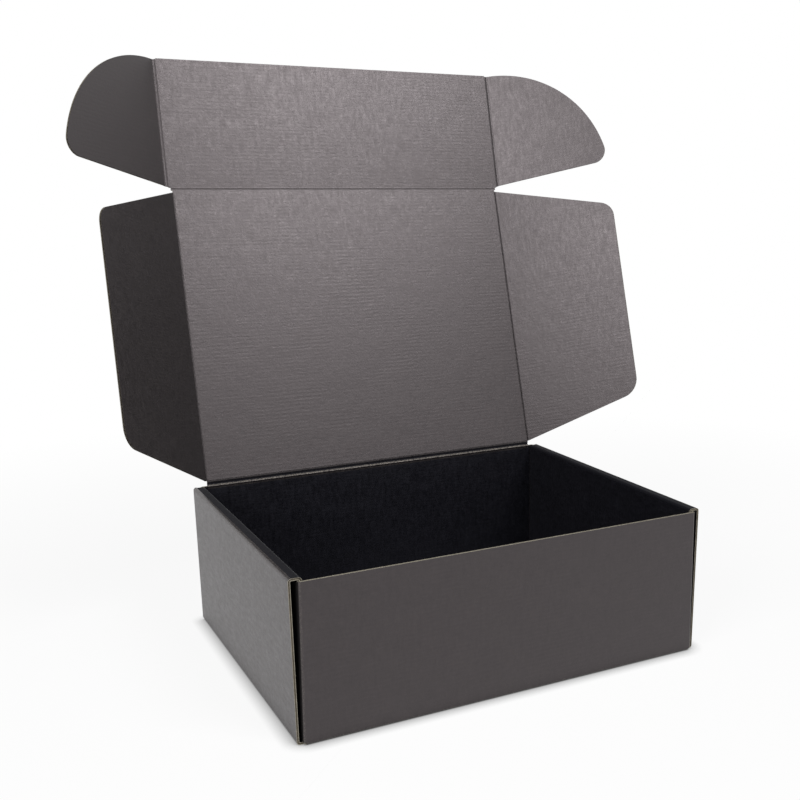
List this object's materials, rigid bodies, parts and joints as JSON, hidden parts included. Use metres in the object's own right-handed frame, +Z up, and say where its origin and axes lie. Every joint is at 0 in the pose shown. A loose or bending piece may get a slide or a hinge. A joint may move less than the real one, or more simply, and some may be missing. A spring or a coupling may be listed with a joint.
{
  "type": "shipping box",
  "caption": "Folded corrugated shipping box with rolled side walls and an attached lid with side flaps, a front tuck flap and rounded locking ears, shown open.",
  "frame": {"origin": "middle of the tray's underside, on the surface that the box stands on", "axes": "+Z up, +X to the box's right seen from its front, and -Y towards the front wall"},
  "size_m": [0.4818, 0.3393, 0.4596],
  "materials": {
    "board": "matte black print on both sides of corrugated board, with bare brown raw edges"
  },
  "bodies": {
    "tray": {"tray": "board"},
    "lid_panel": {"lid_panel": "board"},
    "side_flap_left": {"side_flap_left": "board"},
    "side_flap_right": {"side_flap_right": "board"},
    "tuck_flap": {"tuck_flap": "board"},
    "tuck_ear_left": {"tuck_ear_left": "board"},
    "tuck_ear_right": {"tuck_ear_right": "board"}
  },
  "joints": [
    {"name": "lid_hinge", "type": "hinge", "parent": "tray", "child": "lid_panel", "pos_m": [0, 0.1222, 0.1149], "axis": [-1, 0, 0], "range_deg": [-106, 74]},
    {"name": "side_flap_left_crease", "type": "hinge", "parent": "lid_panel", "child": "side_flap_left", "pos_m": [-0.1518, 0.12129, 0.11516], "axis": [0, -0.2756, -0.9613], "range_deg": [-130, 91]},
    {"name": "side_flap_right_crease", "type": "hinge", "parent": "lid_panel", "child": "side_flap_right", "pos_m": [0.1518, 0.12129, 0.11516], "axis": [0, 0.2756, 0.9613], "range_deg": [-130, 91]},
    {"name": "tuck_crease", "type": "hinge", "parent": "lid_panel", "child": "tuck_flap", "pos_m": [0, 0.19034, 0.35252], "axis": [-1, 0, 0], "range_deg": [-87.4, 61]},
    {"name": "ear_left_crease", "type": "hinge", "parent": "tuck_flap", "child": "tuck_ear_left", "pos_m": [-0.1581, 0.19034, 0.35252], "axis": [0, -0.23, -0.9732], "range_deg": [-51, 39]},
    {"name": "ear_right_crease", "type": "hinge", "parent": "tuck_flap", "child": "tuck_ear_right", "pos_m": [0.1581, 0.19034, 0.35252], "axis": [0, 0.23, 0.9732], "range_deg": [-51, 39]}
  ],
  "couplings": [
    {"joint": "side_flap_left_crease", "follows": "lid_hinge", "ratio": 1.225},
    {"joint": "side_flap_right_crease", "follows": "lid_hinge", "ratio": 1.225},
    {"joint": "tuck_crease", "follows": "lid_hinge", "ratio": 0.8236}
  ]
}
